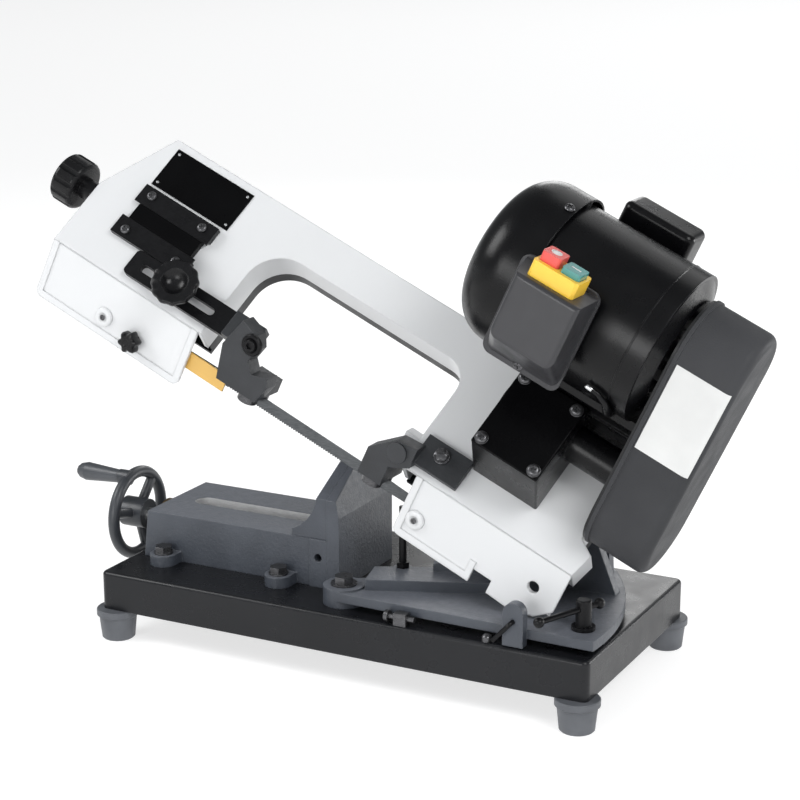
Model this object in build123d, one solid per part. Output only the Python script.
from build123d import *
import os
from math import asin, atan2, cos, degrees, hypot, radians, sin

# Portable horizontal band saw for cutting metal, bow shown half raised.
# +Z up, +X to the pivot end, -Y to the operator. Millimetres.

# Fits. Cutting shapes overrun the faces they cut by about 1 mm.
run = 0.06
slide = 0.1
fit = 0.02
air = 0.3

# Base tray and feet
tray_length = 570.0
tray_width = 270.0
tray_height = 42.0
sheet = 2.5
tray_corner = 8.0
tray_lip = 46.0
foot_height = 34.0
foot_radius = 23.0
foot_neck = 20.5
foot_toe = 18.0
foot_rim = 7.0
foot_inset_x = 14.0
foot_inset_y = 11.0
foot_bolt = 8.0
foot_bore = 12.0

# Vise
bed_left = -272.0
bed_length = 233.0
bed_slope = 6.0
bed_width = 118.0
bed_height = 53.0
bed_top = 12.0
bed_wall = 9.0
bed_end = 6.0
vise_y = -9.0
slot_width = 24.0
slot_left = -240.0
lug_width = 30.0
lug_reach = 26.0
lug_height = 12.0
lug_left = 34.0
lug_right = 53.0
bed_bolt = 10.0
jaw_plate = 15.0
jaw_height = 98.0
jaw_peak = 126.0
jaw_peak_y = -14.0
jaw_back_height = 92.0
jaw_taper = 9.0
jaw_taper_from = 80.0
jaw_bolt_spread = 38.0
jaw_bolt_reach = 20.0
jaw_proud = 2.5
carriage_length = 42.7
carriage_height = 7.5
moving_plate = 12.7
gusset = 10.0
nut_length = 32.0
nut_width = 34.0
nut_drop = 14.0
stop_rod_bore = 9.0
rod_pad = 21.0

# Lead screw and handwheel
screw_height = 26.0
screw_diameter = 16.0
journal_diameter = 12.0
journal_length = 10.0
collar_diameter = 26.0
collar_length = 6.0
bush_diameter = 30.0
bush_flange = 44.0
bush_flange_length = 6.0
wheel_x = -321.0
wheel_radius = 47.0
rim_radius = 6.5
hub_radius = 17.0
hub_length = 30.0
spoke_radius = 5.5
grip_turn = 18.0
grip_length = 52.0
grip_root = 7.5
grip_tip = 10.5
stud_radius = 4.0
boss_radius = 8.5
boss_length = 12.0

# Swivel base
swivel_edge = 39.0
clamp_edge = 21.0
clamp_radius = 268.0
swivel_boss = 22.0
swivel_boss_height = 20.0
swivel_bolt = 12.0
sector_rim = 23.0
sector_front = -5.5
sector_rear = 37.0
plate_bottom = 8.0
plate_top = 18.0
rib_top = 30.0
ear_gap_front = 6.0
ear = 12.0
ear_radius = 20.0
ear_heel = 46.0
ear_toe_front = 50.0
ear_toe_rear = 24.0
web_x = 76.0
web_y = 56.0
web_half = 5.0
barrel_length = 35.4
pivot_x = 208.0
pivot_height = 92.0
pivot_diameter = 20.0
clamp_bolt = 10.0
clamp_slot = 13.0
swivel_range = 45.0
post_radius = 8.0
post_height = 31.0
bar_radius = 3.0
bar_length = 82.0
bar_shift = -19.5
bar_turn = 67.0
ball_radius = 5.5
lock_x = 204.0
lock_height = 27.0
lock_radius = 11.0
lock_wire = 4.6
stop_x = 39.0
stop_y = -46.0
stop_bolt = 8.0
stop_boss = 10.0
stop_row_edge = 8.0
stop_block = 10.0
stop_block_x = 79.0
stop_head_x = 174.0

# Bow
raise_angle = 25.0
lowered = 24.0
face_tilt = 50.0
wall_y = -96.0
bend_v = -1.0
bow_left = -622.0
bow_right = 34.0
bow_top = 167.0
bow_shoulder = 79.0
bow_chamfer = 41.0
wing_right = 52.0
wing_low = 47.0
wing_top = 37.0
throat_left = -420.0
throat_right = -160.0
throat_top = 122.0
throat_round_left = 42.0
throat_round_right = 28.0
bow_plate = 6.0
name_left = -573.0
name_right = -469.0
name_low = 109.0
name_high = 158.0
name_thick = 1.0
bow_rim = 5.0
bow_depth = 40.0
apron = 3.0
apron_left_drop = 60.0
apron_right_drop = 54.0
guard = 4.0
guard_left_drop = 69.0
guard_right_drop = 70.0
guard_left_end = -424.0
guard_right_start = -140.0
guard_hole = 6.5
guard_hole_u = 18.0
guard_hole_v = -36.0
guard_round = 8.0
guard_border = 8.0
guard_inset = 1.2
notch_left = -45.0
notch_right = -23.0
notch_height = 15.0
star_radius = 8.5
star_lobe = 4.0
tab_low = 2.0
cover_depth = 17.0
cover_wall = 1.5
cover_room = 3.0
pillar = 30.0

# Band wheels and blade
band_radius = 86.5
band_lip = 1.5
drive_u = -62.0
idler_u = -520.0
wheel_s = 69.5
blade_plane = 38.0
blade_width = 13.0
blade_thick = 0.9
tooth_pitch = 3.0
tooth_depth = 1.4
guide_left_u = -345.0
guide_right_u = -183.0
rim_thick = 10.0
web_thick = 6.0
hub_diameter = 44.0
axle_diameter = 16.0
axle_collar = 22.0
shaft_diameter = 18.0
tension_travel = 6.0

# Tension slide on the bow's face
rail_left = -573.0
rail_length = 99.0
rail_height = 8.0
rail_width = 18.0
slide_low = 58.0
slide_high = 86.0
slide_left = -565.0
slide_length = 85.0
tension_screw = 10.0
tension_depth = 15.0
neck_left = -563.0
neck_length = 18.0
neck_half = 8.0
knob_radius = 28.0
knob_length = 28.0

# Blade guides
bar_left = -532.0
bar_right = -384.0
bar_low = 9.0
bar_high = 39.0
bar_thick = 8.0
bar_slot = 9.0
bar_slot_back = 52.0
bar_slot_ahead = 46.0
bar_round = 5.0
clamp_u = -465.0
guide_knob_radius = 26.0
guide_travel = 25.0
roller_radius = 11.0
roller_width = 8.0
roller_pin = 8.0
pin_head = 1.2
block_front = -104.0
block_back = -84.0
right_plate_left = -152.0
right_plate_low = 7.0
right_plate_high = 41.0
right_plate_thick = 8.0

# Gearbox
box_left = -97.0
box_right = -20.0
box_low = 36.0
box_high = 132.0
box_height = 66.0
box_wall = 5.0
box_draft = 6.0
box_round = 2.0
lid = 7.0
lid_screw_edge = 8.0
worm_s = 105.5
worm_h = 36.0
worm_radius = 14.0
worm_shaft_diameter = 15.0
gear_width = 14.0
worm_boss = 19.0
saddle_front = -71.0
saddle_sill = 152.0

# Belt drive
plate_u = 37.0
back_plate = 3.0
cover_end = 107.0
cover_half = 50.0
cover_low = 28.0
cover_high = 301.0
cover_sheet = 2.5
cover_round = 10.0
pulley_u = 58.0
pulley_width = 20.0
driven_root = 33.0
motor_root = 19.0
belt_thick = 8.0
belt_width = 10.0
hinge_radius = 4.0
hinge_v = 165.0
hinge_length = 30.0
hinge_pin = 1.5

# Motor
motor_y = -57.5
motor_v = 240.0
motor_radius = 80.0
motor_left = -114.0
motor_right = 24.0
motor_wall = 5.0
bell_root = 76.0
bell_end = 58.0
bell_length = 9.0
rotor_radius = 49.0
rotor_inset = 28.0
fan_cover_radius = 86.5
fan_cover_length = 68.0
fan_cover_lap = 4.0
fan_cover_wall = 2.0
fan_cover_round = 40.0
fan_radius = 76.0
fan_depth = 30.0
fan_length = 26.0
motor_shaft = 18.0
stud_ring = 42.0
motor_stud = 6.0

# Switch and capacitor boxes
switch_left = -105.0
switch_right = -37.0
switch_low = 213.0
switch_high = 279.0
switch_front = -195.0
flange_front = -147.5
flange_thick = 3.0
flange_margin = 8.0
flange_skirt = 37.0
flange_rim = 4.0
flange_round = 10.0
switch_round = 9.0
switch_notch = 7.0
housing_left = -99.0
housing_right = -50.0
housing_front = -186.0
housing_back = -152.0
housing_height = 16.0
button_length = 20.0
button_depth = 22.0
button_margin = 3.0
button_travel = 4.0
stop_stand = 10.0
start_stand = 6.0
cap_left = -97.0
cap_right = -18.0
cap_front = 2.0
cap_back = 46.0
cap_top = 326.0
cap_round = 9.0

nodes = {}


def block(x0, x1, y0, y1, z0, z1):
    middle = Pos((x0 + x1) / 2, (y0 + y1) / 2, (z0 + z1) / 2)
    return middle * Box(x1 - x0, y1 - y0, z1 - z0)


def rod_x(radius, x0, x1, y, z):
    return Pos((x0 + x1) / 2, y, z) * Rot(0, 90, 0) * Cylinder(radius, x1 - x0)


def rod_y(radius, y0, y1, x, z):
    return Pos(x, (y0 + y1) / 2, z) * Rot(90, 0, 0) * Cylinder(radius, y1 - y0)


def rod_z(radius, z0, z1, x, y):
    return Pos(x, y, (z0 + z1) / 2) * Cylinder(radius, z1 - z0)


def hex_z(across, z0, z1, x, y):
    return Pos(x, y, z0) * extrude(RegularPolygon(across / 2, 6, major_radius=False), z1 - z0)


def hex_y(across, y0, y1, x, z):
    return Pos(x, y1, z) * Rot(90, 0, 0) * hex_z(across, 0, y1 - y0, 0, 0)


def dome_z(radius, height, z, x, y):
    ball = (radius * radius + height * height) / (2 * height)
    cap = Pos(0, 0, height - ball) * Sphere(ball)
    return Pos(x, y, z) * (cap & block(-radius, radius, -radius, radius, 0, height))


def slot_z(radius, x0, x1, y, z0, z1):
    middle = block(x0, x1, y - radius, y + radius, z0, z1)
    return middle + rod_z(radius, z0, z1, x0, y) + rod_z(radius, z0, z1, x1, y)


def prism_y(points, y0, y1):
    flat = Plane.XZ * make_face(Polyline(*points, close=True))
    return Pos(0, y1, 0) * extrude(flat, y1 - y0)


def prism_z(points, z0, z1):
    return Pos(0, 0, z0) * extrude(make_face(Polyline(*points, close=True)), z1 - z0)


tray_top = foot_height + tray_height
TOP = Pos(0, 0, tray_top)
HEAD = TOP * Pos(pivot_x, 0, pivot_height) * Rot(0, raise_angle, 0)
FACE = HEAD * Pos(0, wall_y, bend_v) * Rot(face_tilt, 0, 0)
tilt_cos = cos(radians(face_tilt))
tilt_sin = sin(radians(face_tilt))


def head_y(s, h):
    return wall_y + s * tilt_cos - h * tilt_sin


def head_v(s, h):
    return bend_v + s * tilt_sin + h * tilt_cos


# Swivel place, from the tray's edges
swivel_x = tray_length / 2 - clamp_edge - clamp_radius
swivel_y = -tray_width / 2 + swivel_edge
sector_radius = clamp_radius + sector_rim

# Vise places that other pieces share
bed_right = bed_left + bed_length
bed_front = vise_y - bed_width / 2
bed_back = vise_y + bed_width / 2
fixed_face = bed_right
fixed_back = bed_right + jaw_plate
jaw_front = bed_front - jaw_proud
lug_places = [
    (bed_left + lug_left, bed_front - lug_reach / 2),
    (bed_right - lug_right, bed_front - lug_reach / 2),
    (bed_left + lug_left, bed_back + lug_reach / 2),
    (bed_right - lug_right, bed_back + lug_reach / 2),
]
jaw_bolt_x = fixed_face + jaw_plate / 2
jaw_bolt_places = [(jaw_bolt_x, vise_y - jaw_bolt_spread), (jaw_bolt_x, vise_y + jaw_bolt_spread)]
foot_places = []
for side_x in (-1, 1):
    for side_y in (-1, 1):
        foot_x = side_x * (tray_length / 2 - foot_inset_x)
        foot_y = side_y * (tray_width / 2 - foot_inset_y)
        foot_places.append((foot_x, foot_y))

# Base tray: folded sheet, open below, with an inner lip for the feet
tray_shell = block(-tray_length / 2, tray_length / 2, -tray_width / 2, tray_width / 2, foot_height, tray_top)
tray_shell = fillet(tray_shell.edges().filter_by(Axis.Z), tray_corner)
tray_shell = fillet(tray_shell.faces().sort_by(Axis.Z)[-1].edges(), 1.6 * sheet)
inside_x = tray_length / 2 - sheet
inside_y = tray_width / 2 - sheet
hollow = block(-inside_x, inside_x, -inside_y, inside_y, foot_height + sheet, tray_top - sheet)
hollow = fillet(hollow.edges().filter_by(Axis.Z), tray_corner - sheet)
lip_x = tray_length / 2 - tray_lip
lip_y = tray_width / 2 - tray_lip
mouth = block(-lip_x, lip_x, -lip_y, lip_y, foot_height - 1, foot_height + 2 * sheet)
tray = tray_shell - hollow - mouth
for x, y in foot_places:
    tray = tray - rod_z(foot_bolt / 2 + 0.5, foot_height - 1, foot_height + 2 * sheet, x, y)
for x, y in lug_places + jaw_bolt_places:
    tray = tray - rod_z(bed_bolt / 2 + 0.5, tray_top - 2 * sheet, tray_top + 1, x, y)
tray = tray - rod_z(swivel_bolt / 2 + run, tray_top - 2 * sheet, tray_top + 1, swivel_x, swivel_y)
slot_from = -3.0
slot_to = swivel_range + 3.0
slot_path = CenterArc((swivel_x, swivel_y), clamp_radius, slot_from, slot_to - slot_from)
slot_face = Pos(0, 0, tray_top - 2 * sheet) * trace(slot_path, clamp_slot)
tray = tray - extrude(slot_face, 3 * sheet)
nodes["base_tray"] = tray

# Rubber feet and their bolts
foot_line = [
    (foot_bolt / 2 + 0.5, foot_bore),
    (foot_bolt / 2 + 0.5, foot_height),
    (foot_radius - 1, foot_height),
    (foot_radius, foot_height - 1),
    (foot_radius, foot_height - foot_rim),
    (foot_neck, foot_height - foot_rim - 2),
    (foot_toe, 1.5),
    (foot_toe - 1.5, 0),
    (foot_bolt + 3, 0),
    (foot_bolt + 3, foot_bore),
]
foot = revolve(Plane.XZ * make_face(Polyline(*foot_line, close=True)), Axis.Z)
feet = [Pos(x, y, 0) * foot for x, y in foot_places]
nodes["rubber_feet"] = Compound(children=feet)
bolt_head = 0.7 * foot_bolt
bolts = []
for x, y in foot_places:
    lip_top = foot_height + sheet
    bolt = hex_z(1.6 * foot_bolt, foot_bore - bolt_head, foot_bore, x, y)
    bolt = bolt + rod_z(foot_bolt / 2, foot_bore, lip_top + 10, x, y)
    bolt = bolt + hex_z(1.6 * foot_bolt, lip_top, lip_top + 6, x, y)
    bolts.append(bolt)

# Vise bed: hollow casting with a slotted top, four lugs and a bush boss
bed_line = [(bed_left, 0), (bed_right, 0), (bed_right, bed_height), (bed_left + bed_slope, bed_height)]
bed = prism_y(bed_line, bed_front, bed_back)
cavity_left = bed_left + bed_slope + bed_wall
bed_hollow = block(
    cavity_left, bed_right - bed_end, bed_front + bed_wall, bed_back - bed_wall, -1, bed_height - bed_top
)
bed = bed - bed_hollow
slot_right = bed_right - bed_end
slot_half_width = slot_width / 2
slot_round = slot_left + slot_half_width
slot_low = bed_height - bed_top - 1
bed = bed - block(
    slot_round, slot_right, vise_y - slot_half_width, vise_y + slot_half_width, slot_low, bed_height + 1
)
bed = bed - rod_z(slot_half_width, slot_low, bed_height + 1, slot_round, vise_y)
for x, y in lug_places:
    inner = bed_front if y < vise_y else bed_back
    pad = block(x - lug_width / 2, x + lug_width / 2, min(y, inner), max(y, inner), 0, lug_height)
    bed = bed + pad + rod_z(lug_width / 2, 0, lug_height, x, y)
for x, y in lug_places:
    bed = bed - rod_z(bed_bolt / 2 + 0.5, -1, lug_height + 1, x, y)
boss_face = bed_left - 2
bed = bed + rod_x(bush_flange / 2, boss_face, cavity_left, vise_y, screw_height)
bed = bed - rod_x(bush_diameter / 2 + fit, boss_face - 1, cavity_left + 1, vise_y, screw_height)
bed = bed - rod_x(screw_diameter / 2 + 2, bed_right - bed_end - 1, bed_right + 1, vise_y, screw_height)
bed = bed + block(bed_right - rod_pad, bed_right, jaw_front, bed_front + 1, 0, bed_height)
bed = bed - rod_y(
    stop_rod_bore / 2, jaw_front - 1, bed_front + bed_wall + 1, bed_right - rod_pad / 2, bed_height - 20
)
nodes["vise_bed"] = TOP * bed

# Bolts through the bed lugs and, from below, into the fixed jaw
bed_bolts = []
bed_head = 0.64 * bed_bolt
for x, y in lug_places:
    bolt = rod_z(1.05 * bed_bolt, lug_height, lug_height + 2, x, y)
    bolt = bolt + hex_z(1.7 * bed_bolt, lug_height + 2, lug_height + 2 + bed_head, x, y)
    bolt = bolt + rod_z(bed_bolt / 2, -sheet - 14, lug_height + 2, x, y)
    bolt = bolt + hex_z(1.7 * bed_bolt, -sheet - 8, -sheet, x, y)
    bed_bolts.append(bolt)
for x, y in jaw_bolt_places:
    bolt = hex_z(1.7 * bed_bolt, -sheet - bed_head, -sheet, x, y)
    bed_bolts.append(bolt + rod_z(bed_bolt / 2, -sheet, jaw_bolt_reach, x, y))
base_bolts = bolts + [TOP * bolt for bolt in bed_bolts]
nodes["base_bolts"] = Compound(children=base_bolts)

# Fixed jaw: tall plate that closes the bed's end
def gable(x0, x1, front, back):
    line = [
        (front, 0), (back, 0), (back, jaw_back_height), (jaw_peak_y, jaw_peak), (front, jaw_height)
    ]
    face = Plane.YZ * make_face(Polyline(*line, close=True))
    return Pos(x0, 0, 0) * extrude(face, x1 - x0)


fixed = gable(fixed_face, fixed_back, jaw_front, bed_back)
taper_line = [
    (fixed_back, jaw_taper_from), (fixed_back + 1, jaw_taper_from), (fixed_back + 1, jaw_peak + 1),
    (fixed_back - jaw_taper, jaw_peak + 1)
]
fixed = fixed - prism_y(taper_line, jaw_front - 1, bed_back + 1)
journal_depth = journal_length + 2
journal_bore = journal_diameter / 2 + run
fixed = fixed - rod_x(journal_bore, bed_right - 1, bed_right + journal_depth, vise_y, screw_height)
for x, y in jaw_bolt_places:
    fixed = fixed - rod_z(bed_bolt / 2 + fit, -1, jaw_bolt_reach + 1, x, y)
nodes["fixed_jaw"] = TOP * fixed

# Movable jaw on its tongue, and the nut under the bed top
moving_face = fixed_face - air
moving_left = moving_face - carriage_length
moving_front = jaw_front + 2
moving_back = bed_back - 2
rest = bed_height + slide
carriage_top = rest + carriage_height
moving = block(moving_left, moving_face, moving_front, moving_back, rest, carriage_top)
jaw_blank = gable(moving_face - moving_plate, moving_face, moving_front, moving_back)
below_rest = block(moving_left - 1, moving_face + 1, moving_front - 1, moving_back + 1, -1, rest)
moving = moving + (jaw_blank - below_rest)
gusset_right = moving_face - moving_plate


def gusset_web(top):
    dip_x = gusset_right - 0.37 * (gusset_right - moving_left)
    dip_z = carriage_top + 0.36 * (top - carriage_top)
    heel = (moving_left, carriage_top)
    peak = (gusset_right, top)
    edge = ThreePointArc(heel, (dip_x, dip_z), peak) + Polyline(peak, (gusset_right, carriage_top), heel)
    return extrude(Plane.XZ * make_face(edge), gusset)


moving = moving + Pos(0, moving_front + gusset, 0) * gusset_web(jaw_height)
moving = moving + Pos(0, moving_back, 0) * gusset_web(jaw_back_height)
nut_top = bed_height - bed_top - air
nut_right = moving_face - 7
nut_left = nut_right - nut_length
tongue_half = slot_width / 2 - air
moving = moving + block(nut_left, nut_right, vise_y - tongue_half, vise_y + tongue_half, nut_top, rest + 1)
nodes["movable_jaw"] = TOP * moving
nut_low = screw_height - nut_drop
jaw_nut = block(nut_left, nut_right, vise_y - nut_width / 2, vise_y + nut_width / 2, nut_low, nut_top)
jaw_nut = jaw_nut - rod_x(screw_diameter / 2 + slide, nut_left - 1, nut_right + 1, vise_y, screw_height)
nodes["jaw_nut"] = TOP * jaw_nut

# Flanged bush in the bed's end
bush_face = boss_face - bush_flange_length
bush = rod_x(bush_flange / 2, bush_face, boss_face, vise_y, screw_height)
bush = bush + rod_x(bush_diameter / 2, boss_face, cavity_left, vise_y, screw_height)
bush = bush - rod_x(screw_diameter / 2 + run, bush_face - 1, cavity_left + 1, vise_y, screw_height)
nodes["screw_bush"] = TOP * bush

# Lead screw with its collar and end journal
hub_right = wheel_x + hub_length / 2
hub_left = wheel_x - hub_length / 2
lead = rod_x(screw_diameter / 2, hub_left + 4, bed_right - air, vise_y, screw_height)
lead = lead + rod_x(journal_diameter / 2, bed_right - 1, bed_right + journal_length, vise_y, screw_height)
collar_left = cavity_left + air
lead = lead + rod_x(collar_diameter / 2, collar_left, collar_left + collar_length, vise_y, screw_height)
nodes["lead_screw"] = TOP * lead

# Handwheel: hub, three spokes, round rim, boss and stud for the grip
rim = Rot(0, 90, 0) * Torus(wheel_radius, rim_radius)
spoke = rod_z(spoke_radius, hub_radius - 3, wheel_radius, 0, 0)
wheel = rim + rod_x(hub_radius, -hub_length / 2, hub_length / 2, 0, 0)
for turn in (60, 180, 300):
    wheel = wheel + Rot(turn, 0, 0) * spoke
stud_end = boss_length + grip_length + 2 * air
stud = rod_x(boss_radius, -boss_length, 2, 0, wheel_radius)
stud = stud + rod_x(stud_radius, -stud_end, 1 - boss_length, 0, wheel_radius)
stud = stud + rod_x(stud_radius + 2, -stud_end - 3, -stud_end, 0, wheel_radius)
wheel = wheel + stud
wheel = wheel - rod_x(screw_diameter / 2 + fit, 4 - hub_length / 2, hub_length / 2 + 1, 0, 0)
WHEEL = TOP * Pos(wheel_x, vise_y, screw_height) * Rot(grip_turn, 0, 0)
nodes["handwheel"] = WHEEL * wheel
grip_line = [
    (stud_radius + slide, 0),
    (grip_root, 0),
    (grip_root + 1, 0.3 * grip_length),
    (grip_tip, 0.85 * grip_length),
    (grip_tip - 2, grip_length),
    (stud_radius + slide, grip_length),
]
grip = revolve(Plane.XZ * make_face(Polyline(*grip_line, close=True)), Axis.Z)
nodes["handwheel_grip"] = WHEEL * Pos(-boss_length - air, 0, wheel_radius) * Rot(0, -90, 0) * grip

# Swivel base: sector plate on pads, rib, web and two pivot ears
SWIVEL = TOP * Pos(swivel_x, swivel_y, 0)
front_angle = radians(sector_front)
rear_angle = radians(sector_rear)
middle_angle = (front_angle + rear_angle) / 2
front_tip = (sector_radius * cos(front_angle), sector_radius * sin(front_angle))
rear_tip = (sector_radius * cos(rear_angle), sector_radius * sin(rear_angle))
arc_middle = (sector_radius * cos(middle_angle), sector_radius * sin(middle_angle))
boss_front = (0, -swivel_boss)
boss_rear = (-0.6 * swivel_boss, 0.8 * swivel_boss)
sector_edge = Line(boss_front, front_tip) + ThreePointArc(front_tip, arc_middle, rear_tip)
sector_edge = sector_edge + Line(rear_tip, boss_rear) + Line(boss_rear, boss_front)
swivel = Pos(0, 0, plate_bottom) * extrude(make_face(sector_edge), plate_top - plate_bottom)
swivel = swivel + rod_z(swivel_boss, slide, swivel_boss_height, 0, 0)
pad_outer = rod_z(sector_radius - 6, slide, plate_bottom + 1, 0, 0)
pad_inner = rod_z(sector_radius - 46, 0, plate_bottom + 2, 0, 0)
pad_wedge = Pos(0, 0, slide) * extrude(make_face(sector_edge), plate_bottom + 1 - slide)
pad_reach = 2 * sector_radius
pad_keep = Rot(0, 0, sector_front + 8) * block(0, pad_reach, 0, pad_reach, 0, plate_bottom + 2)
swivel = swivel + ((pad_outer - pad_inner) & pad_wedge & pad_keep)
ear_x = pivot_x - swivel_x
ear_y0 = ear_gap_front - swivel_y
ear_y1 = ear_y0 + ear
ear_y2 = ear_y1 + barrel_length + 2 * air
ear_y3 = ear_y2 + ear
rib_line = [
    (26, -3), (139, 43), (ear_x - 18, 64), (ear_x - 18, ear_y0 + 4), (ear_x - 90, ear_y0 - 14), (16, 38)
]
swivel = swivel + prism_z(rib_line, plate_top - 1, rib_top)
swivel = swivel + rod_z(stop_boss, plate_bottom, rib_top, stop_x - swivel_x, stop_y - swivel_y)
web_angle = degrees(atan2(ear_y0 + ear / 2 - web_y, ear_x - web_x))
web_reach = hypot(ear_y0 + ear / 2 - web_y, ear_x - web_x)
web_line = [
    (0, rib_top - 1), (web_reach, plate_top), (web_reach, pivot_height - 14),
    (web_reach - 24, pivot_height - 16), (0, rib_top + 8)
]
swivel = swivel + Pos(web_x, web_y, 0) * Rot(0, 0, web_angle) * prism_y(web_line, -web_half, web_half)


def pivot_ear(y0, y1, toe):
    line = [
        (ear_x - ear_heel, plate_top - 1), (ear_x + toe, plate_top - 1), (ear_x + ear_radius, pivot_height),
        (ear_x - ear_radius, pivot_height)
    ]
    return prism_y(line, y0, y1) + rod_y(ear_radius, y0, y1, ear_x, pivot_height)


swivel = swivel + pivot_ear(ear_y0, ear_y1, ear_toe_front) + pivot_ear(ear_y2, ear_y3, ear_toe_rear)
swivel = swivel + block(ear_x - 42, ear_x - 10, ear_y1 - 1, ear_y2 + 1, plate_top - 1, pivot_height - 44)
swivel = swivel - rod_y(pivot_diameter / 2 + fit, ear_y0 - 1, ear_y3 + 1, ear_x, pivot_height)
lug_x = lock_x - swivel_x
edge_y = -swivel_boss + (front_tip[1] + swivel_boss) * lug_x / front_tip[0]
lug = block(lug_x - lock_radius, lug_x + lock_radius, edge_y - 10, edge_y + 1, 1, lock_height + 8)
lug = lug + rod_y(lock_radius, edge_y - 10, edge_y + 1, lug_x, lock_height + 8)
swivel = swivel + lug
swivel = swivel - rod_y(lock_wire / 2 + slide, edge_y - 11, edge_y + 2, lug_x, lock_height)
swivel = swivel - rod_z(swivel_bolt / 2 + run, -1, swivel_boss_height + 1, 0, 0)
swivel = swivel - rod_z(clamp_bolt / 2 + slide, plate_bottom - 9, plate_top + 1, clamp_radius, 0)
stop_bore = stop_bolt / 2 + fit
swivel = swivel - rod_z(stop_bore, plate_bottom - 1, rib_top + 1, stop_x - swivel_x, stop_y - swivel_y)
nodes["swivel_base"] = SWIVEL * swivel

# Swivel pivot bolt, fixed to the tray
pivot_bolt = rod_z(swivel_bolt / 2, -sheet - 14, swivel_boss_height + 3, 0, 0)
washer_low = swivel_boss_height + slide
pivot_bolt = pivot_bolt + rod_z(1.15 * swivel_bolt, washer_low, washer_low + 2, 0, 0)
pivot_bolt = pivot_bolt + hex_z(1.55 * swivel_bolt, washer_low + 2, washer_low + 2 + 0.6 * swivel_bolt, 0, 0)
pivot_bolt = pivot_bolt + hex_z(1.55 * swivel_bolt, -sheet - 10, -sheet, 0, 0)
nodes["swivel_pivot_bolt"] = SWIVEL * pivot_bolt

# Head pivot shaft with a nut at each end
shaft = rod_y(pivot_diameter / 2, ear_y0 - 3, ear_y3 + 10, ear_x, pivot_height)
shaft = shaft + rod_y(0.65 * pivot_diameter, ear_y0 - 4, ear_y0, ear_x, pivot_height)
shaft = shaft + hex_y(1.5 * pivot_diameter, ear_y3, ear_y3 + 9, ear_x, pivot_height)
nodes["head_pivot_shaft"] = SWIVEL * shaft

# Down stop: threaded bolt with a lock nut, under the bow's stop tab
tab_u = stop_x - pivot_x
lowest_angle = radians(raise_angle - lowered)
stop_reach = -tab_u - stop_bolt / 2
stop_top = pivot_height + tab_low * cos(lowest_angle) + stop_reach * sin(lowest_angle) - air
stop = rod_z(stop_bolt / 2, plate_bottom, stop_top, stop_x, stop_y)
stop = stop + hex_z(1.6 * stop_bolt, rib_top, rib_top + 6, stop_x, stop_y)
nodes["down_stop_bolt"] = TOP * stop

# Swivel clamp: post with a cross hole, nut plate under the tray, sliding bar with balls
CLAMP = SWIVEL * Pos(clamp_radius, 0, 0)
cross_height = plate_top + 0.7 * post_height
post = rod_z(post_radius, plate_top + slide, plate_top + post_height, 0, 0)
post = post + rod_z(1.5 * post_radius, plate_top + slide, plate_top + 4, 0, 0)
post = fillet(post.faces().sort_by(Axis.Z)[-1].edges(), 2)
post = post + rod_z(clamp_bolt / 2, -sheet - 12, plate_top + 1, 0, 0)
BAR = Pos(0, 0, cross_height) * Rot(0, 0, bar_turn)
post = post - BAR * rod_x(bar_radius + slide, -2 * post_radius, 2 * post_radius, 0, 0)
nodes["clamp_post"] = CLAMP * post
clamp_nut = block(-12, 12, -12, 12, -sheet - slide - 10, -sheet - slide)
clamp_nut = clamp_nut - rod_z(clamp_bolt / 2 + run, -sheet - 12, 0, 0, 0)
nodes["clamp_nut"] = CLAMP * clamp_nut
half_bar = bar_length / 2
tommy = rod_x(bar_radius, -half_bar, half_bar, 0, 0)
tommy = tommy + Pos(-half_bar, 0, 0) * Sphere(ball_radius) + Pos(half_bar, 0, 0) * Sphere(ball_radius)
nodes["tommy_bar"] = CLAMP * BAR * Pos(bar_shift, 0, 0) * tommy

# Bent lock pin in the front lug
pin_front = edge_y - 10 - 6
pin_path = FilletPolyline(
    (lug_x, edge_y + 8, lock_height),
    (lug_x, pin_front, lock_height),
    (lug_x - 18, pin_front - 1.5, lock_height - 20),
    radius=5,
)
pin_face = Pos(lug_x, edge_y + 8, lock_height) * Rot(90, 0, 0) * Circle(lock_wire / 2)
nodes["lock_pin"] = SWIVEL * sweep(pin_face, path=pin_path)

# Stop screws on the tray's front edge
stop_row = -tray_width / 2 + stop_row_edge
stop_half = stop_block / 2
stop_left = stop_block_x - stop_half - 2
stop_right = stop_block_x + stop_half + 2
screw_block = block(stop_left, stop_right, stop_row - stop_half, stop_row + stop_half, 0, 13)
screw_block = screw_block + rod_x(3, stop_left - 8, stop_right + 8, stop_row, 7.5)
screw_block = screw_block + rod_x(6, stop_left - 11, stop_left - 7, stop_row, 7.5)
screw_head = rod_z(stop_half, 0, 5, stop_head_x, stop_row) + dome_z(stop_half, 3, 5, stop_head_x, stop_row)
nodes["swivel_stops"] = TOP * Compound(children=[screw_block, screw_head])

# Bow outline on the inclined face, u along the bow and s up the face
outer_line = [
    (bow_left, 0), (bow_left, bow_shoulder), (bow_left + bow_chamfer, bow_top), (bow_right, bow_top),
    (bow_right, wing_top), (wing_right, wing_top - 10), (wing_low, 0)
]


def throat_shape(grow):
    line = [
        (throat_left - grow, -60), (throat_left - grow, throat_top + grow),
        (throat_right + grow, throat_top + grow), (throat_right + grow, -60)
    ]
    shape = Sketch() + make_face(Polyline(*line, close=True))
    corners = shape.vertices().group_by(Axis.Y)[-1].sort_by(Axis.X)
    shape = fillet(corners[0], throat_round_left + grow)
    corners = shape.vertices().group_by(Axis.X)[-1].sort_by(Axis.Y)
    return fillet(corners[-1], throat_round_right + grow)


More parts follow.
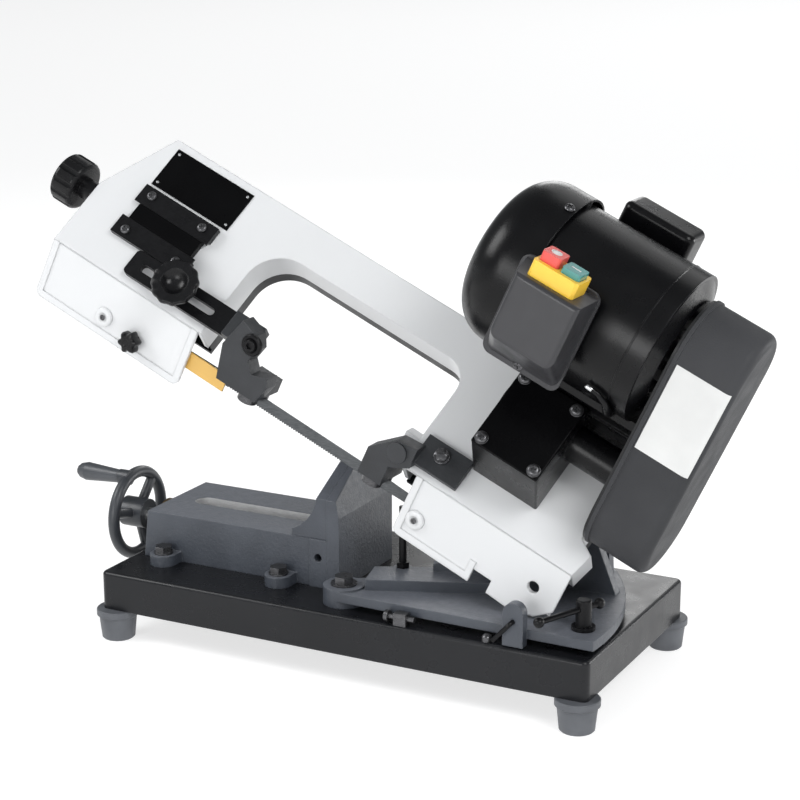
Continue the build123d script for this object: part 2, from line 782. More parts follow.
def outer_shape(shrink):
    shape = make_face(Polyline(*outer_line, close=True))
    if shrink:
        shape = offset(shape, amount=-shrink, kind=Kind.INTERSECTION)
    return shape


bow_face = outer_shape(0) - throat_shape(0)
channel = outer_shape(bow_rim) - throat_shape(bow_rim)
bow = Pos(0, 0, -bow_depth) * extrude(bow_face, bow_depth)
bow = bow - Pos(0, 0, -bow_depth - 1) * extrude(channel, bow_depth + 1 - bow_plate)
left_in = bow_left + bow_rim
left_out = throat_left - bow_rim
right_in = throat_right + bow_rim
bow = bow - block(left_in, left_out, -1, 2 * bow_rim, -bow_depth - 1, -bow_plate)
bow = bow - block(right_in, wing_low - bow_rim, -1, 2 * bow_rim, -bow_depth - 1, -bow_plate)
bow = bow + block(
    bow_right - pillar, bow_right, bow_top - pillar, bow_top, -bow_depth - cover_depth - 2, -bow_plate + 1
)
shaft_boss = 0.5 * shaft_diameter + 11
bow = bow + rod_z(shaft_boss, -bow_plate - 9, -bow_plate + 1, drive_u, wheel_s)
rim_inside = bow_left + bow_rim
bow = bow - rod_x(tension_screw / 2 + run, bow_left - 1, rim_inside + 1, wheel_s, -tension_depth)
neck_right = neck_left + neck_length
bow = bow - block(
    neck_left - air, neck_right + tension_travel + air, wheel_s - neck_half - air, wheel_s + neck_half + air,
    -bow_plate - 1, 1
)
bow = bow - rod_z(shaft_diameter / 2 + run, -bow_plate - 10, 1, drive_u, wheel_s)
slot_half = axle_collar / 2 + air
bow = bow - slot_z(slot_half, idler_u, idler_u + tension_travel, wheel_s, -bow_plate - 1, 1)
bar_s = (bar_low + bar_high) / 2
bow = bow - rod_z(stud_radius + fit, -bow_plate - 1, 1, clamp_u, bar_s)

# Apron behind the front guards, and the tab that meets the down stop
TO_FACE = Rot(-face_tilt, 0, 0) * Pos(0, -wall_y, -bend_v)
apron_front = wall_y + guard
apron_back = apron_front + apron
apron_left = block(bow_left + 2, guard_left_end - 2, apron_front, apron_back, bend_v - apron_left_drop, 0)
apron_right = block(
    guard_right_start + 2, wing_low - 2, apron_front, apron_back, bend_v - apron_right_drop, 0
)
tab = block(tab_u - 14, throat_right + bow_rim, stop_y - 10, stop_y + 4, tab_low, tab_low + 12)
screw_places = [(-533.0, -48.0), (-122.0, -46.0)]
star_place = (-489.0, -51.0)
aprons = apron_left + apron_right
aprons = aprons - rod_y(guard_hole, apron_front - 1, apron_back + 1, guard_hole_u, guard_hole_v)
for u, v in screw_places + [star_place]:
    aprons = aprons - rod_y(3 + fit, apron_front - 1, apron_back + 1, u, v)
bow = bow + TO_FACE * aprons + TO_FACE * tab
nodes["bow_frame"] = FACE * bow

# Hinge bracket: barrel on the pivot shaft, arm up to the bow's pillar
barrel_y0 = swivel_y + ear_y1 + air
barrel_y1 = barrel_y0 + barrel_length
pillar_back = -bow_depth - cover_depth - 2
bracket = rod_y(ear_radius, barrel_y0, barrel_y1, 0, 0)
arm_s = bow_top - pillar
arm_line = [
    (head_y(bow_top, pillar_back), head_v(bow_top, pillar_back)),
    (head_y(arm_s, pillar_back), head_v(arm_s, pillar_back)),
    (barrel_y1 - 18, head_v(arm_s, pillar_back) - 22),
    (barrel_y1 - 18, 0),
    (barrel_y1, 0),
    (barrel_y1, head_v(arm_s, pillar_back) - 8),
]
arm_face = Plane.YZ * make_face(Polyline(*arm_line, close=True))
bracket = bracket + Pos(bow_right - pillar, 0, 0) * extrude(arm_face, pillar)
bracket = bracket + block(0, bow_right, barrel_y1 - 18, barrel_y1, 0, ear_radius)
bracket = bracket - rod_y(pivot_diameter / 2 + run, barrel_y0 - 1, barrel_y1 + 1, 0, 0)
nodes["hinge_bracket"] = HEAD * bracket

# Front guards: flat plates with a raised border below and beside the pressed panel
guard_left = block(bow_left, guard_left_end, wall_y, apron_front, bend_v - guard_left_drop, bend_v)
low_left = bend_v - guard_left_drop
low_corners = guard_left.edges().filter_by(Axis.Y).group_by(Axis.Z)[0]
guard_left = fillet(low_corners, guard_round)
panel_front = wall_y - 1
panel_back = wall_y + guard_inset
panel_top = bend_v + 1
panel_left = bow_left + guard_border
panel_right = guard_left_end - guard_border
panel_low = low_left + guard_border
guard_left = guard_left - block(panel_left, panel_right, panel_front, panel_back, panel_low, panel_top)
low_right = bend_v - guard_right_drop
notch_top = low_right + notch_height
guard_line = [
    (guard_right_start, bend_v), (wing_low, bend_v), (wing_low, low_right + 23),
    (wing_low - 16, low_right + 7), (wing_low - 46, low_right - 1), (notch_right, low_right),
    (notch_right, notch_top), (notch_left, notch_top), (notch_left, low_right), (guard_right_start, low_right)
]
guard_right = prism_y(guard_line, wall_y, apron_front)
left_corners = guard_right.edges().filter_by(Axis.Y).group_by(Axis.X)[0].sort_by(Axis.Z)
guard_right = fillet(left_corners[0], guard_round)
panel_left = guard_right_start + guard_border
panel_right = notch_left - guard_border
panel_end = wing_low + 1
panel_low = low_right + guard_border
panel_rise = notch_top + guard_border
guard_right = guard_right - block(panel_left, panel_right + 1, panel_front, panel_back, panel_low, panel_top)
guard_right = guard_right - block(panel_right, panel_end, panel_front, panel_back, panel_rise, panel_top)
guard_right = guard_right - block(notch_left, panel_end, panel_front, panel_back, low_right - 2, panel_top)
guard_right = guard_right - rod_y(guard_hole, wall_y - 1, apron_front + 1, guard_hole_u, guard_hole_v)
for u, v in screw_places + [star_place]:
    bore = rod_y(3 + fit, wall_y - 1, apron_front + 1, u, v)
    guard_left = guard_left - bore
    guard_right = guard_right - bore
plate_room = FACE * block(bow_left - 9, wing_right + 9, 0, bow_top, -bow_depth, 9)
nodes["left_front_guard"] = HEAD * guard_left - plate_room
nodes["right_front_guard"] = HEAD * guard_right - plate_room

# Star knob with six lobes on a stud
star_u, star_v = star_place
star = rod_y(star_radius, wall_y - 16, wall_y - 3, star_u, star_v)
for lobe in range(6):
    lobe_u = star_u + star_radius * cos(radians(60 * lobe))
    lobe_v = star_v + star_radius * sin(radians(60 * lobe))
    star = star + rod_y(star_lobe, wall_y - 16, wall_y - 3, lobe_u, lobe_v)
star = star + rod_y(star_radius - 2, wall_y - 3, wall_y + guard_inset - air, star_u, star_v)
star = star + rod_y(3, wall_y - 1, apron_back + 3, star_u, star_v)
nodes["star_knob"] = HEAD * star

# Rear cover: thin tray over the wheels, open to the bow, with lobes below
cover_line = [
    (bow_left, 0), (bow_left, bow_shoulder), (bow_left + bow_chamfer, bow_top), (bow_right, bow_top),
    (bow_right, 0)
]
lobe_radius = band_radius + band_lip + cover_room


def cover_shape(shrink):
    shape = make_face(Polyline(*cover_line, close=True))
    if shrink:
        shape = offset(shape, amount=-shrink, kind=Kind.INTERSECTION)
    for u in (idler_u, drive_u):
        shape = shape + Pos(u, wheel_s) * Circle(lobe_radius - shrink)
    return shape - throat_shape(shrink)


cover_back = -bow_depth - cover_depth
rear = Pos(0, 0, cover_back) * extrude(cover_shape(0), cover_depth)
rear = rear - Pos(0, 0, cover_back + cover_wall) * extrude(cover_shape(cover_wall), cover_depth)
room_u = bow_right - pillar - air
room_s = bow_top - pillar - air
rear = rear - block(room_u, bow_right + 1, room_s, bow_top + 1, cover_back - 1, -bow_depth + 1)
lobe_low = wheel_s - lobe_radius - 1
for u0, u1 in ((idler_u, throat_left + 3), (throat_right - 3, drive_u)):
    rear = rear - block(u0, u1, lobe_low, 2 * cover_wall, -bow_depth - 11, -bow_depth + 1)
nodes["rear_cover"] = FACE * rear

# Bare name plate
nodes["name_plate"] = FACE * block(name_left, name_right, name_low, name_high, 0, name_thick)

# Tension slide: two rails, slide block with the idler axle, screw with its knob
rails = []
rail_screws = []
rail_right = rail_left + rail_length
for low, lip_low, lip_high in (
    (slide_high + air, slide_high - 4, slide_high + air + rail_width),
    (slide_low - air - rail_width, slide_low - air - rail_width, slide_low + 4),
):
    rail = block(rail_left, rail_right, low, low + rail_width, 0, rail_height - 2.5)
    rail = rail + block(rail_left, rail_right, lip_low, lip_high, rail_height - 2.5, rail_height)
    for u in (rail_left + 14, rail_right - 16):
        s = low + rail_width / 2
        rail = rail - rod_z(3 + fit, -1, rail_height + 1, u, s)
        rail_screws.append(
            rod_z(3, 0, rail_height, u, s) + dome_z(5.5, 3.5, rail_height, u, s)
        )
    rails.append(rail)
nodes["slide_rails"] = FACE * Compound(children=rails)
slide_right = slide_left + slide_length
step_low = slide_low + 4 + air
step_high = slide_high - 4 - air
tension = block(slide_left, slide_right, slide_low, slide_high, slide, rail_height - 2.5 - slide)
tension = tension + block(slide_left, slide_right, step_low, step_high, slide, rail_height)
tension = tension + block(
    neck_left, neck_right, wheel_s - neck_half, wheel_s + neck_half, -tension_depth - 9, slide + 1
)
tension = tension - rod_x(tension_screw / 2 + slide, neck_left - 1, neck_right + 1, wheel_s, -tension_depth)
axle_end = -blade_plane - 12
tension = tension + rod_z(axle_collar / 2, -bow_plate - 4, 1, idler_u, wheel_s)
tension = tension + rod_z(axle_diameter / 2, axle_end - 4, -bow_plate, idler_u, wheel_s)
tension = tension + rod_z(axle_diameter / 2 + 4, axle_end - 4, axle_end, idler_u, wheel_s)
nodes["tension_slide"] = FACE * tension
thread = rod_x(tension_screw / 2, bow_left - 20, neck_right - 2, wheel_s, -tension_depth)
thread = thread + rod_x(tension_screw / 2 + 3, rim_inside + air, rim_inside + 5, wheel_s, -tension_depth)
knob_end = bow_left - 18
thread = thread + rod_x(12, knob_end, bow_left - air, wheel_s, -tension_depth)
knob_back = knob_end - knob_length
knob = rod_x(knob_radius, knob_back, knob_end, wheel_s, -tension_depth)
knob = fillet(knob.edges(), 5)
for scallop in range(12):
    turn = radians(30 * scallop)
    reach = knob_radius + 2
    flute_s = wheel_s + reach * cos(turn)
    flute_h = -tension_depth + reach * sin(turn)
    knob = knob - rod_x(4, knob_back - 9, knob_end + 9, flute_s, flute_h)
nodes["tension_knob"] = FACE * (knob + thread)


# Band wheels: rim with a lip on the face side, web with holes, hub
def band_wheel(bore, hub_top, hub_bottom):
    back_edge = -blade_plane + blade_width / 2 + air
    rim_low = -blade_plane - blade_width / 2 + 2
    wheel = rod_z(band_radius, rim_low, back_edge, 0, 0)
    wheel = wheel + rod_z(band_radius + band_lip, back_edge, back_edge + 2.7, 0, 0)
    wheel = wheel - rod_z(band_radius - rim_thick, rim_low - 1, back_edge + 4, 0, 0)
    web_low = -blade_plane - web_thick / 2 + 1
    web = rod_z(band_radius - rim_thick + 1, web_low, web_low + web_thick, 0, 0)
    for hole in range(5):
        turn = radians(72 * hole)
        web = web - rod_z(15, web_low - 1, web_low + web_thick + 1, 50 * cos(turn), 50 * sin(turn))
    wheel = wheel + web + rod_z(hub_diameter / 2, hub_bottom, hub_top, 0, 0)
    return wheel - rod_z(bore, hub_bottom - 1, hub_top + 1, 0, 0)


idler = band_wheel(axle_diameter / 2 + run, -bow_plate - 4 - air, axle_end + air)
nodes["idler_wheel"] = FACE * Pos(idler_u, wheel_s, 0) * idler
hub_bottom = -blade_plane - 9
nodes["drive_wheel"] = FACE * Pos(drive_u, wheel_s, 0) * band_wheel(
    shaft_diameter / 2 + fit, -bow_plate - 9 - air, hub_bottom
)

# Drive shaft with the worm wheel, and its end screw and washer
gear_radius = worm_s - wheel_s - worm_radius - air
drive = rod_z(shaft_diameter / 2, hub_bottom, box_height + 3, 0, 0)
drive = drive + rod_z(gear_radius, worm_h - gear_width / 2, worm_h + gear_width / 2, 0, 0)
drive = drive + rod_z(14, hub_bottom - 3, hub_bottom, 0, 0)
drive = drive + hex_z(13, hub_bottom - 6.5, hub_bottom - 3, 0, 0)
nodes["drive_shaft"] = FACE * Pos(drive_u, wheel_s, 0) * drive

# Saw blade: one loop over both wheels, turned square to the work between the guides
inner = band_radius + air
outer = inner + blade_thick
mid_radius = inner + blade_thick / 2
blade_low = -blade_plane - blade_width / 2
blade_high = blade_low + blade_width
ring = rod_z(outer, blade_low, blade_high, 0, 0) - rod_z(inner, blade_low - 1, blade_high + 1, 0, 0)
half_room = 2 * outer
left_half = ring & block(-half_room, 0, -half_room, half_room, -half_room, half_room)
right_half = ring & block(0, half_room, -half_room, half_room, -half_room, half_room)
blade = Pos(idler_u, wheel_s, 0) * left_half + Pos(drive_u, wheel_s, 0) * right_half
blade = blade + block(idler_u, drive_u, wheel_s + inner, wheel_s + outer, blade_low, blade_high)
blade = FACE * blade
line_y = head_y(wheel_s - mid_radius, -blade_plane)
line_v = head_v(wheel_s - mid_radius, -blade_plane)
flat_left = guide_left_u - guide_travel - 6
flat_right = guide_right_u + 6


def blade_section(u, turn):
    return Pos(u, line_y, line_v) * Rot(turn, 0, 0) * (Plane.YZ * Rectangle(blade_thick, blade_width))


def twisted(u_wheel, u_guide):
    steps = 6
    sections = []
    for step in range(steps + 1):
        share = step / steps
        sections.append(blade_section(u_wheel + (u_guide - u_wheel) * share, face_tilt * (1 - share)))
    return loft(sections)


blade = blade + HEAD * twisted(idler_u, flat_left) + HEAD * twisted(drive_u, flat_right)
tooth_count = int((flat_right - flat_left) / tooth_pitch)
tooth_step = (flat_right - flat_left) / tooth_count
tooth_low = line_v - blade_width / 2
tooth_line = [(flat_left, line_v + blade_width / 2), (flat_left, tooth_low)]
for tooth in range(tooth_count):
    tip = flat_left + tooth * tooth_step
    tooth_line.append((tip + 0.75 * tooth_step, tooth_low + tooth_depth))
    tooth_line.append((tip + tooth_step, tooth_low))
tooth_line.append((flat_right, line_v + blade_width / 2))
flat_run = prism_y(tooth_line, line_y - blade_thick / 2, line_y + blade_thick / 2)
nodes["saw_blade"] = blade + HEAD * flat_run

# Left guide: slotted bar on the face, clamp knob, block, two rollers, yellow guard
guide_bar = block(bar_left, bar_right, bar_low, bar_high, slide, bar_thick)
bar_slot_left = clamp_u - bar_slot_back
bar_slot_right = clamp_u + bar_slot_ahead
guide_bar = fillet(guide_bar.edges().filter_by(Axis.Z).group_by(Axis.X)[0], bar_round)
slot_end = bar_slot / 2
guide_bar = guide_bar - slot_z(
    slot_end, bar_slot_left + slot_end, bar_slot_right - slot_end, bar_s, -1, bar_thick + 1
)
nodes["guide_bar"] = FACE * guide_bar
guide_knob = rod_z(stud_radius, -bow_plate, bar_thick + 4, clamp_u, bar_s)
guide_knob = guide_knob + rod_z(9, bar_thick + slide, bar_thick + 6, clamp_u, bar_s)
dish = revolve(
    Plane.XZ * make_face(
        Polyline(
            (0, 5), (10, 5), (guide_knob_radius, 20), (guide_knob_radius, 26), (guide_knob_radius - 5, 26),
            (7, 12), (0, 12), close=True
        )
    ),
    Axis.Z,
)
guide_knob = guide_knob + Pos(clamp_u, bar_s, bar_thick) * dish
nodes["guide_knob"] = FACE * guide_knob
foot_back = line_y + 2 * roller_radius + 1
roller_low = line_v - 0.5
foot_low = line_v + blade_width / 2 + 2


def roller_y(side):
    return line_y + side * (blade_thick / 2 + roller_radius + slide)


def guide_foot(u):
    foot = block(u - 14, u + 14, block_front, foot_back, foot_low, foot_low + 16)
    for side in (-1, 1):
        head_top = roller_low - air
        foot = foot + rod_z(roller_pin / 2, head_top - pin_head, foot_low + 1, u, roller_y(side))
        foot = foot + rod_z(roller_pin / 2 + 2, head_top - pin_head, head_top, u, roller_y(side))
    return foot


def roller(u, side):
    place = roller_y(side)
    roller_high = roller_low + roller_width
    ring = rod_z(roller_radius, roller_low, roller_high, u, place)
    return ring - rod_z(roller_pin / 2 + run, roller_low - 1, roller_high + 1, u, place)


block_line = [
    (bar_right - 5, 8), (bar_right + 7, 43), (bar_right + 27, 36), (bar_right + 34, 22), (bar_right + 29, 6),
    (bar_right + 38, -5), (guide_left_u + 18, 1), (guide_left_u + 21, -10), (guide_left_u + 14, foot_low),
    (bar_right + 3, foot_low)
]
left_block = prism_y(block_line, block_front, block_back) + guide_foot(guide_left_u)
bar_room = FACE * block(bar_left, bar_right, bar_low, bar_high, slide, bar_thick)
guide_end = FACE * block(bar_right - 12, bar_right + 26, bar_low, bar_high, bar_thick, bar_thick + 8)
guide_end = guide_end + FACE * block(bar_right, bar_right + 26, bar_low, bar_high, slide, bar_thick + 1)
nodes["left_guide_block"] = (HEAD * left_block + guide_end) - bar_room
nodes["left_roller_front"] = HEAD * roller(guide_left_u, -1)
nodes["left_roller_back"] = HEAD * roller(guide_left_u, 1)
yellow = block(bar_right - 42, bar_right + 8, apron_back + 0.8, apron_back + 2.8, line_v - 10, line_v + 9)
nodes["blade_guard"] = (HEAD * yellow) - nodes["left_guide_block"]

# Right guide: bracket plate on the face with its arm, bolt and two rollers
right_plate = FACE * block(
    right_plate_left, box_left - 1, right_plate_low, right_plate_high, 0, right_plate_thick
)
arm_u = right_plate_left + 4
arm_outline = [
    (arm_u, 26), (arm_u - 24, 24), (guide_right_u - 14, 0), (guide_right_u - 14, foot_low),
    (guide_right_u + 14, foot_low), (guide_right_u + 14, -8), (arm_u, 4)
]
right_arm = HEAD * (prism_y(arm_outline, block_front, block_back) + guide_foot(guide_right_u))
right_arm = right_arm + HEAD * rod_y(11, block_front - 3, block_back, arm_u - 18, 12)
bow_room = FACE * block(throat_right - slide, bow_right, -60, bow_top, -80, 0)
right_guide = (right_plate + right_arm) - bow_room
right_bolt_place = (right_plate_left + 24, right_plate_low + 21)
right_guide = right_guide - FACE * rod_z(4 + fit, -1, 40, right_bolt_place[0], right_bolt_place[1])
nodes["right_guide_bracket"] = right_guide
nodes["right_roller_front"] = HEAD * roller(guide_right_u, -1)
nodes["right_roller_back"] = HEAD * roller(guide_right_u, 1)

# Gearbox: housing with the worm boss, lid
WORM = Pos(0, worm_s, worm_h)
lid_low = box_low + box_draft
housing_line = [(box_low, 0), (box_high, 0), (box_high, box_height), (lid_low, box_height)]
housing_face = Plane.YZ * make_face(Polyline(*housing_line, close=True))
housing = Pos(box_left, 0, 0) * extrude(housing_face, box_right - box_left)
corners = [edge for edge in housing.edges() if abs(edge.center().Z - box_height / 2) < 1]
housing = fillet(corners, box_round)
saddle_sole = box_high - 1
saddle_brow = box_height - 6
saddle_line = [
    (head_y(box_high + 2, saddle_brow), head_v(box_high + 2, saddle_brow)),
    (head_y(saddle_sole, saddle_brow), head_v(saddle_sole, saddle_brow)),
    (head_y(saddle_sole, box_wall), head_v(saddle_sole, box_wall)),
    (head_y(saddle_sole, box_wall), motor_v),
    (saddle_front, motor_v),
    (saddle_front, saddle_sill),
]
saddle_face = Plane.YZ * make_face(Polyline(*saddle_line, close=True))
saddle = Pos(box_left, 0, 0) * extrude(saddle_face, plate_u - box_left)
saddle = saddle - rod_x(motor_radius, box_left - 1, plate_u + 1, motor_y, motor_v)
housing = housing + TO_FACE * saddle
housing = housing + WORM * rod_x(worm_boss, box_right - 2, plate_u, 0, 0)
housing = housing + WORM * rod_x(worm_boss, box_left - 5, box_left + 2, 0, 0)
inside_low = lid_low + box_wall
inside_high = box_high - box_wall
housing = housing - block(
    box_left + box_wall, box_right - box_wall, inside_low, inside_high, box_wall, box_height + 1
)
housing = housing - WORM * rod_x(worm_shaft_diameter / 2 + run, box_left - 1, plate_u + 1, 0, 0)
housing = housing - rod_z(shaft_diameter / 2 + run, -1, box_wall + 1, drive_u, wheel_s)
nodes["gearbox_housing"] = FACE * housing
cover = block(box_left, box_right, lid_low, box_high, box_height, box_height + lid)
cover = fillet(cover.edges().filter_by(Axis.Z), box_round)
cover = fillet(cover.faces().sort_by(Axis.Z)[-1].edges(), 1.5)
cover = cover - rod_z(shaft_diameter / 2 + run, box_height - 1, box_height + 3 + air, drive_u, wheel_s)
nodes["gearbox_cover"] = FACE * cover

# Screws and bolts of the head, seated on what they hold
screws = [FACE * screw for screw in rail_screws]
for u in (box_left + lid_screw_edge, box_right - lid_screw_edge):
    for s in (lid_low + lid_screw_edge, box_high - lid_screw_edge):
        screws.append(FACE * dome_z(5, 3.5, box_height + lid, u, s))
for u, v in screw_places:
    screw = rod_y(3, wall_y, apron_back, u, v) + rod_y(6, panel_back - 3, panel_back, u, v)
    screws.append(HEAD * screw)
right_bolt = rod_z(4, 0, 8, 0, 0) + rod_z(8.5, 8, 10, 0, 0) + hex_z(13, 10, 16, 0, 0)
screws.append(FACE * Pos(right_bolt_place[0], right_bolt_place[1], 0) * right_bolt)
nodes["head_screws"] = Compound(children=screws)

# Worm shaft and driven pulley, motor pulley and belt
worm_y = head_y(worm_s, worm_h)
worm_v = head_v(worm_s, worm_h)
pulley_end = pulley_u + pulley_width
worm = rod_x(worm_shaft_diameter / 2, box_left - 1 + air, pulley_end + 4, worm_y, worm_v)
worm = worm + rod_x(worm_radius, drive_u - 22, drive_u + 22, worm_y, worm_v)
nodes["worm_shaft"] = HEAD * worm


def pulley(root, bore, y, v):
    groove = belt_width / 2 + air
    middle = pulley_u + pulley_width / 2
    wheel = rod_x(root + belt_thick + 1, pulley_u, pulley_end, y, v)
    cut = rod_x(root + belt_thick + 2, middle - groove, middle + groove, y, v)
    cut = cut - rod_x(root, middle - groove - 1, middle + groove + 1, y, v)
    wheel = wheel - cut
    return wheel - rod_x(bore, pulley_u - 1, pulley_end + 1, y, v)


nodes["driven_pulley"] = HEAD * pulley(driven_root, worm_shaft_diameter / 2 + fit, worm_y, worm_v)
nodes["motor_pulley"] = HEAD * pulley(motor_root, motor_shaft / 2 + fit, motor_y, motor_v)


def belt_loop(grow):
    span = hypot(motor_y - worm_y, motor_v - worm_v)
    big = driven_root + air + grow
    small = motor_root + air + grow
    lean = asin((big - small) / span)
    up = big * sin(lean)
    top = span + small * sin(lean)
    foot_half = big * cos(lean)
    top_half = small * cos(lean)
    side = [(foot_half, up), (top_half, top), (-top_half, top), (-foot_half, up)]
    return make_face(Polyline(*side, close=True)) + Circle(big) + Pos(0, span) * Circle(small)


belt_turn = degrees(atan2(motor_v - worm_v, motor_y - worm_y)) - 90
belt = extrude(belt_loop(belt_thick) - belt_loop(0), belt_width)
belt_start = pulley_u + pulley_width / 2 - belt_width / 2
nodes["drive_belt"] = HEAD * Pos(belt_start, worm_y, worm_v) * (Plane.YZ * (Rot(0, 0, belt_turn) * belt))


# Belt back plate, hinged cover
def stadium(u0, u1, half, low, high):
    body = block(u0, u1, motor_y - half, motor_y + half, low + half, high - half)
    return body + rod_x(half, u0, u1, motor_y, low + half) + rod_x(half, u0, u1, motor_y, high - half)


plate_end = plate_u + back_plate
hinge_y = motor_y + cover_half + hinge_radius + 1
hinge_u = plate_end + 1
knuckle = hinge_length - air
back = stadium(plate_u, plate_end, cover_half, cover_low, cover_high)
back = back + block(plate_u, plate_end, motor_y, hinge_y, hinge_v - knuckle / 2, hinge_v + knuckle / 2)
back = back + rod_z(hinge_radius, hinge_v - knuckle / 2, hinge_v + knuckle / 2, hinge_u, hinge_y)
back = back + rod_z(hinge_pin, hinge_v - 1.4 * hinge_length, hinge_v + 1.4 * hinge_length, hinge_u, hinge_y)
back = back - rod_x(worm_shaft_diameter / 2 + 1, plate_u - 1, plate_end + 1, worm_y, worm_v)
back = back - rod_x(motor_shaft / 2 + 1, plate_u - 1, plate_end + 1, motor_y, motor_v)
nodes["belt_backplate"] = HEAD * back
mouth_u = plate_end + air
shell = stadium(mouth_u, cover_end, cover_half, cover_low, cover_high)
shell = fillet(shell.faces().sort_by(Axis.X)[-1].edges(), cover_round)
hollow_half = cover_half - cover_sheet
shell_hollow = stadium(
    mouth_u - 1, cover_end - cover_sheet, hollow_half, cover_low + cover_sheet, cover_high - cover_sheet
)
shell_hollow = fillet(shell_hollow.faces().sort_by(Axis.X)[-1].edges(), cover_round - cover_sheet)
shell = shell - shell_hollow
lip_ring = stadium(mouth_u, mouth_u + 4, cover_half + 2, cover_low - 2, cover_high + 2)
lip_ring = lip_ring - stadium(mouth_u - 1, mouth_u + 5, cover_half - 1, cover_low + 1, cover_high - 1)
lip_ring = lip_ring - rod_z(hinge_radius + air, cover_low, cover_high, hinge_u, hinge_y)
shell = shell + lip_ring
for side in (-1, 1):
    place = hinge_v + side * hinge_length
    leaf_low = place - knuckle / 2
    leaf_high = place + knuckle / 2
    shell = shell + block(mouth_u, mouth_u + 3, hinge_y - hinge_radius - 3, hinge_y, leaf_low, leaf_high)
    shell = shell + rod_z(hinge_radius, leaf_low, leaf_high, hinge_u, hinge_y)
    shell = shell - rod_z(hinge_pin + run, place - knuckle, place + knuckle, hinge_u, hinge_y)
nodes["belt_cover"] = HEAD * shell

# Motor: body with stator and end shields on four studs, rotor with fan, fan cover
MOTOR = Pos(0, motor_y, motor_v)
body = rod_x(motor_radius, motor_left, motor_right, motor_y, motor_v)
body = body - rod_x(motor_radius - motor_wall, motor_left + 6, motor_right - 6, motor_y, motor_v)
core_left = motor_left + rotor_inset
core_right = motor_right - rotor_inset
stator = rod_x(motor_radius - motor_wall + 1, core_left, core_right, motor_y, motor_v)
body = body + (stator - rod_x(rotor_radius + 1, motor_left, motor_right, motor_y, motor_v))
for turn in (45, 135, 225, 315):
    stud_y = motor_y + stud_ring * cos(radians(turn))
    stud_v = motor_v + stud_ring * sin(radians(turn))
    body = body + rod_x(motor_stud, motor_right - 1, plate_u, stud_y, stud_v)
bell = Cone(bell_root, bell_end, bell_length)
body = body + Pos(motor_right + bell_length / 2, motor_y, motor_v) * Rot(0, 90, 0) * bell
body = body - rod_x(motor_shaft / 2 + run, motor_left - 1, plate_u, motor_y, motor_v)
nodes["motor_body"] = HEAD * body
fan_end = motor_left + fan_cover_lap
fan_start = fan_end - fan_cover_length
fan_cover = rod_x(fan_cover_radius, fan_start, fan_end, motor_y, motor_v)
fan_cover = fillet(fan_cover.faces().sort_by(Axis.X)[0].edges(), fan_cover_round)
fan_inside = fan_cover_radius - fan_cover_wall
fan_hollow = rod_x(fan_inside, fan_start + fan_cover_wall, fan_end + 1, motor_y, motor_v)
fan_hollow = fillet(fan_hollow.faces().sort_by(Axis.X)[0].edges(), fan_cover_round - fan_cover_wall)
fan_cover = fan_cover - fan_hollow
for slot in range(12):
    vent = block(fan_start - 1, fan_start + 6, 14, 44, -3, 3)
    fan_cover = fan_cover - MOTOR * Rot(30 * slot, 0, 0) * vent
pads = rod_x(fan_cover_radius - 1, motor_left, fan_end, motor_y, motor_v)
pads = pads - rod_x(motor_radius, motor_left - 1, fan_end + 1, motor_y, motor_v)
pad_half = 6.0
pad_room = 2 * fan_cover_radius
pad_cross = block(motor_left - 1, fan_end + 1, -pad_room, pad_room, -pad_half, pad_half)
pad_cross = pad_cross + block(motor_left - 1, fan_end + 1, -pad_half, pad_half, -pad_room, pad_room)
nodes["fan_cover"] = HEAD * (fan_cover + (pads & (MOTOR * pad_cross)))
fan_u = fan_start + fan_depth
fan_right = fan_u + fan_length
rotor = rod_x(motor_shaft / 2, fan_u, pulley_end + 4, motor_y, motor_v)
rotor = rotor + rod_x(rotor_radius, core_left, core_right, motor_y, motor_v)
rotor = rotor + rod_x(20, fan_u, fan_right, motor_y, motor_v)
rotor = rotor + rod_x(fan_radius, fan_right - 3, fan_right, motor_y, motor_v)
vane = block(fan_u, fan_right - 2, 15, fan_radius - 2, -1.2, 1.2)
for turn in range(0, 360, 45):
    rotor = rotor + MOTOR * Rot(turn, 0, 0) * vane
nodes["motor_rotor"] = HEAD * rotor

# Capacitor box on the motor's back, switch box on its front
barrel = rod_x(motor_radius, motor_left, motor_right, motor_y, motor_v)
capacitor = block(cap_left, cap_right, cap_front, cap_back, motor_v + 14, cap_top)
capacitor = fillet(capacitor.edges().filter_by(Axis.Z), cap_round)
capacitor = fillet(capacitor.faces().sort_by(Axis.Z)[-1].edges(), 0.8 * cap_round)
nodes["capacitor_box"] = HEAD * (capacitor - barrel)
flange_left = switch_left - 2 * flange_margin
flange_low = switch_low - flange_skirt


def upright_face(u0, u1, y, v0, v1):
    return Pos((u0 + u1) / 2, y, (v0 + v1) / 2) * (Plane.XZ * Rectangle(u1 - u0, v1 - v0))


sole_left = flange_left + flange_rim
sole_low = flange_low + flange_rim
case_sole = upright_face(sole_left, switch_right, flange_front + 1, sole_low, switch_high)
case_front = upright_face(switch_left, switch_right, switch_front, switch_low, switch_high)
case = loft([case_sole, case_front], ruled=True)
case_middle = (switch_front + flange_front + 1) / 2
long_edges = [edge for edge in case.edges() if abs(edge.center().Y - case_middle) < 1]
case = fillet([edge for edge in long_edges if edge.center().Z < switch_high - 1], switch_round)
case = fillet(case.faces().sort_by(Axis.Y)[0].edges(), 0.5 * switch_round)
notch_u = (flange_left + switch_right) / 2
case = case - rod_y(switch_notch, switch_front, flange_front + 2, notch_u, sole_low)
plinth = block(
    flange_left, switch_right + flange_margin / 4, flange_front, flange_front + flange_thick, flange_low,
    switch_high + flange_margin / 2
)
case = case + fillet(plinth.edges().filter_by(Axis.Y), flange_round)
neck_back = motor_y - 0.8 * motor_radius
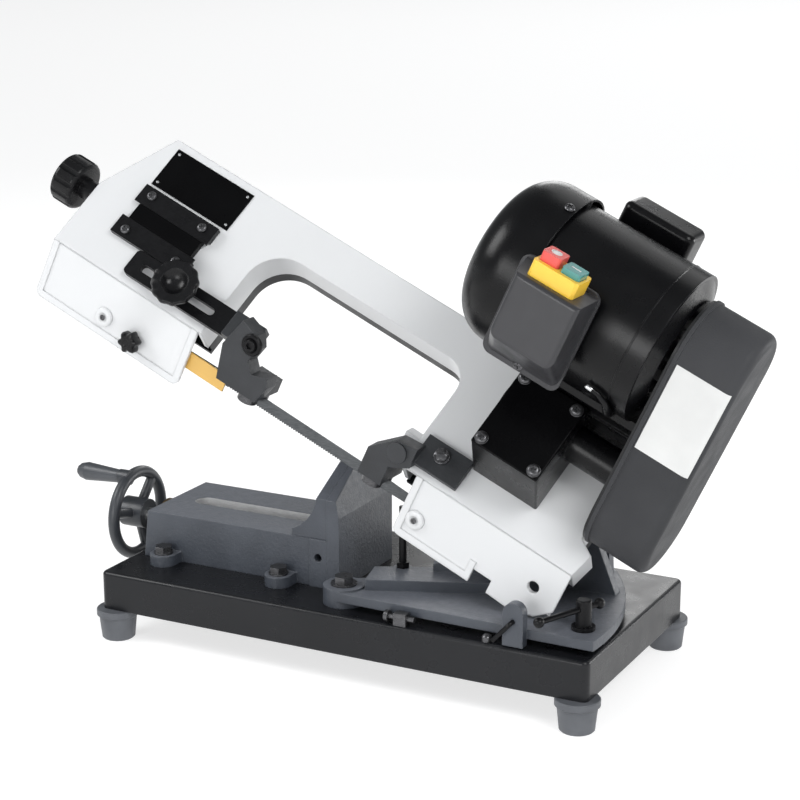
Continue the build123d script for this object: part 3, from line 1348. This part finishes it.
case = case + block(switch_left, switch_right - 8, flange_front + 1, neck_back, motor_v - 22, motor_v + 22)
nodes["switch_box"] = HEAD * (case - barrel)
housing_top = switch_high + housing_height
yellow_box = block(housing_left, housing_right, housing_front, housing_back, switch_high, housing_top)
yellow_box = fillet(yellow_box.edges().filter_by(Axis.Z), 4)
well = button_travel + 4
button_y = (housing_front + housing_back) / 2
stop_u = housing_left + button_margin + button_length / 2
start_u = housing_right - button_margin - button_length / 2


def button(u, grow, low, high):
    half = button_length / 2 + grow
    deep = button_depth / 2 + grow
    cap = block(u - half, u + half, button_y - deep, button_y + deep, low, high)
    return fillet(cap.edges().filter_by(Axis.Z), 3 + grow)


yellow_box = yellow_box - button(stop_u, air, housing_top - well, housing_top + 1)
yellow_box = yellow_box - button(start_u, air, housing_top - well, housing_top + 1)
nodes["switch_housing"] = HEAD * yellow_box
stem_low = housing_top - well + button_travel + 0.2
nodes["stop_button"] = HEAD * button(stop_u, 0, stem_low, housing_top + stop_stand)
nodes["start_button"] = HEAD * button(start_u, 0, stem_low, housing_top + start_stand)

# The origin is under the middle of the whole machine, on the floor
boxes = [shape.bounding_box() for shape in nodes.values()]
low_x = min(box.min.X for box in boxes)
high_x = max(box.max.X for box in boxes)
low_y = min(box.min.Y for box in boxes)
high_y = max(box.max.Y for box in boxes)
low_z = min(box.min.Z for box in boxes)
SHIFT = Pos(-(low_x + high_x) / 2, -(low_y + high_y) / 2, -low_z)

if __name__ == "__main__":
    os.makedirs("parts", exist_ok=True)
    for name, shape in nodes.items():
        export_step(SHIFT * shape, f"parts/{name}.step")
    print("nodes", len(nodes), "origin moved by", SHIFT.position)
    places = {
        "head pivot": HEAD * Pos(0, 0, 0),
        "swivel pivot": SWIVEL,
        "lead screw": WHEEL,
        "grip": WHEEL * Pos(-boss_length, 0, wheel_radius),
        "clamp": CLAMP * BAR,
        "lock pin": SWIVEL * Pos(lug_x, edge_y, lock_height),
        "tension screw": FACE * Pos(bow_left, wheel_s, -tension_depth),
        "idler": FACE * Pos(idler_u, wheel_s, 0),
        "drive": FACE * Pos(drive_u, wheel_s, 0),
        "worm": HEAD * Pos(0, worm_y, worm_v),
        "motor": HEAD * Pos(0, motor_y, motor_v),
        "guide knob": FACE * Pos(clamp_u, bar_s, 0),
        "left roller front": HEAD * Pos(guide_left_u, roller_y(-1), roller_low),
        "left roller back": HEAD * Pos(guide_left_u, roller_y(1), roller_low),
        "right roller front": HEAD * Pos(guide_right_u, roller_y(-1), roller_low),
        "right roller back": HEAD * Pos(guide_right_u, roller_y(1), roller_low),
        "star knob": HEAD * Pos(star_u, wall_y, star_v),
        "stop button": HEAD * Pos(stop_u, button_y, housing_top),
        "start button": HEAD * Pos(start_u, button_y, housing_top),
        "belt cover": HEAD * Pos(hinge_u, hinge_y, hinge_v),
    }
    for name, place in places.items():
        point = (SHIFT * place).position
        print(f"{name}: {point.X:.3f} {point.Y:.3f} {point.Z:.3f}")
